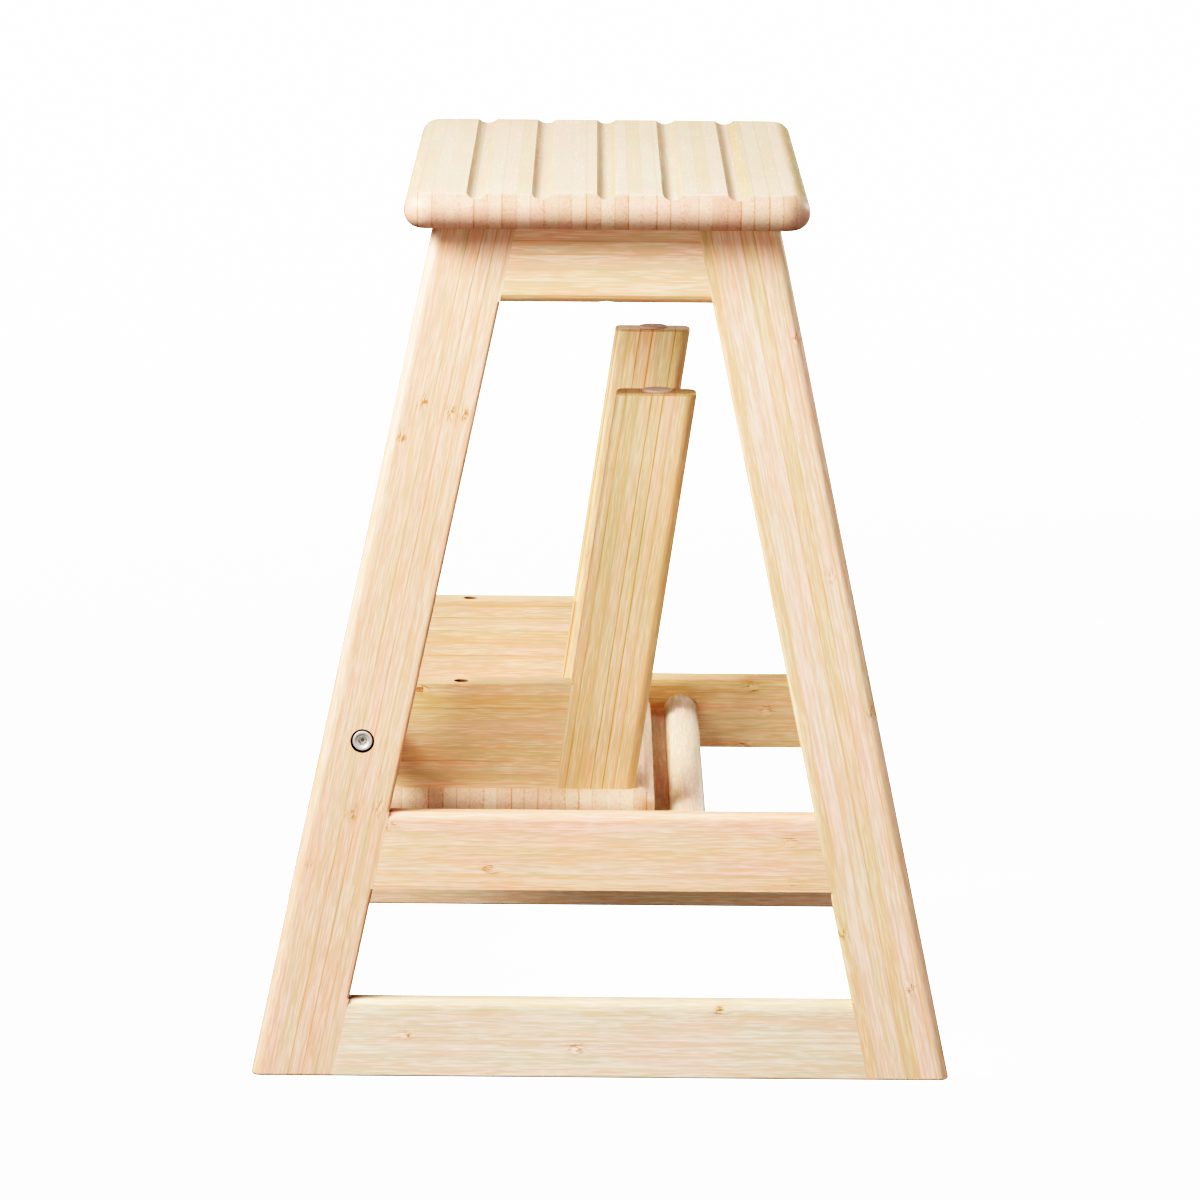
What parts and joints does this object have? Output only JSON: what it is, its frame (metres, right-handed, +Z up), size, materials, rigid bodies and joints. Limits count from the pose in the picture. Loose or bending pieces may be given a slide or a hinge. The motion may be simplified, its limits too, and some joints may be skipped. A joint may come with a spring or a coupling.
{
  "type": "folding step stool",
  "caption": "Bamboo step stool with a grooved seat board on two leaning side frames, and a lower step that folds upside down between them.",
  "frame": {"origin": "centre of the footprint of the standing stool, on the floor", "axes": "+X along the seat's long side towards the right-hand side frame, -Y the front, where the lower step swings out, +Z up"},
  "size_m": [0.4268, 0.3952, 0.5],
  "materials": {
    "bamboo_board": "satin lacquered laminated bamboo",
    "bamboo_frame": "satin lacquered laminated bamboo",
    "bamboo_step": "satin lacquered laminated bamboo",
    "dowel_wood": "plain",
    "bolt_steel": "satin",
    "screw_steel": "zinc plated",
    "spacer_plastic": "matt",
    "foot_pad": "matt"
  },
  "bodies": {
    "frame": {"seat_board": "bamboo_board", "right_front_leg": "bamboo_frame", "right_rear_leg": "bamboo_frame", "right_bottom_rail": "bamboo_frame", "right_middle_rail": "bamboo_frame", "right_top_rail": "bamboo_frame", "right_frame_dowels": "dowel_wood", "right_pivot_bolt": "bolt_steel", "right_pivot_spacer": "spacer_plastic", "left_front_leg": "bamboo_frame", "left_rear_leg": "bamboo_frame", "left_bottom_rail": "bamboo_frame", "left_middle_rail": "bamboo_frame", "left_top_rail": "bamboo_frame", "left_frame_dowels": "dowel_wood", "left_pivot_bolt": "bolt_steel", "left_pivot_spacer": "spacer_plastic", "seat_dowels": "dowel_wood", "seat_screws": "screw_steel", "rear_cross_rail": "bamboo_frame", "step_rest_rail": "bamboo_frame", "cross_rail_dowels": "dowel_wood", "pivot_washers": "spacer_plastic", "pivot_lock_nuts": "screw_steel"},
    "step": {"step_board": "bamboo_board", "right_step_rail": "bamboo_step", "right_step_leg": "bamboo_step", "right_step_foot_pad": "foot_pad", "left_step_rail": "bamboo_step", "left_step_leg": "bamboo_step", "left_step_foot_pad": "foot_pad", "step_dowels": "dowel_wood", "step_screws": "screw_steel"}
  },
  "joints": [
    {"name": "step_fold", "type": "hinge", "parent": "frame", "child": "step", "pos_m": [0, -0.1352, 0.1907], "axis": [1, 0, 0], "range_deg": [0, 180]}
  ]
}
